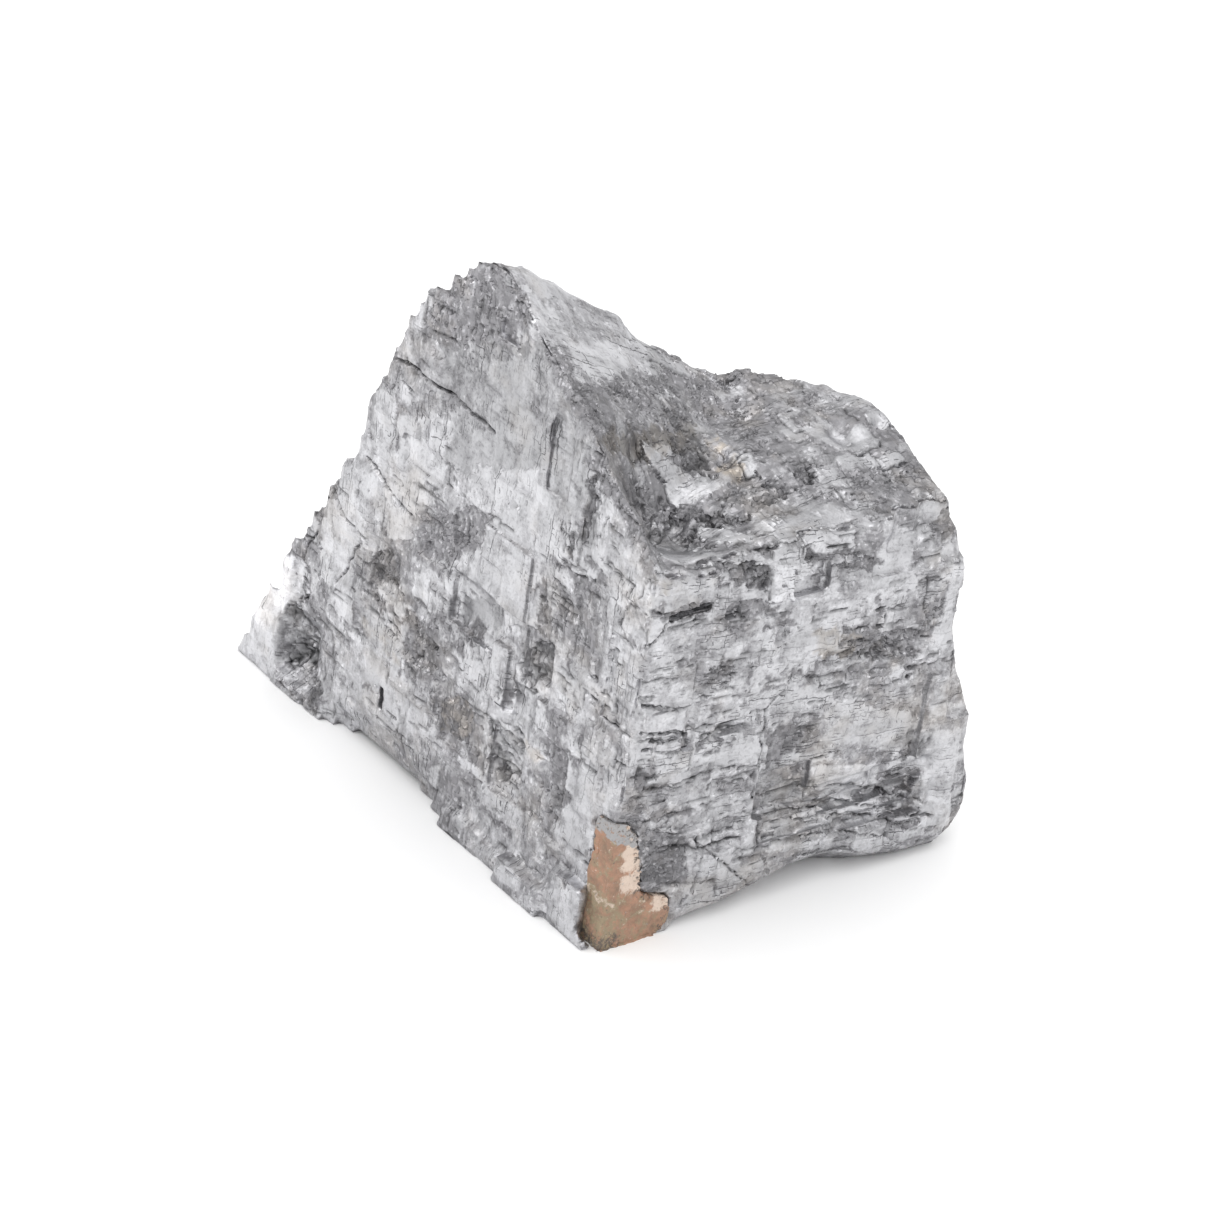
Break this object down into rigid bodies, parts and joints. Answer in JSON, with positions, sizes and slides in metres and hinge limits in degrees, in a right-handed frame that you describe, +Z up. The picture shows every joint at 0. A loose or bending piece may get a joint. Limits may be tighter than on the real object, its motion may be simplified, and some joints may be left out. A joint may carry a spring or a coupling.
{
  "type": "galena specimen",
  "caption": "Broken lump of metallic lead-grey galena with stepped cubic cleavage faces, a rough slanting top, and a small iron-stained rock inclusion at its foot.",
  "frame": {"origin": "middle of the lump's bounding box, on the surface it stands on", "axes": "+Z up, along the front edge where the two large cleavage faces meet; +Y along the left face, away from that edge; +X along the right face, away from that edge"},
  "size_m": [0.0408, 0.054, 0.0502],
  "materials": {
    "galena": "bright lead-grey metallic cleavage, tarnished darker in steps, cracks and pits",
    "stained_rock": "dull rough rock stained brown and cream by iron"
  },
  "bodies": {
    "root": {"galena_mass": "galena", "stained_rock": "stained_rock"}
  },
  "joints": []
}
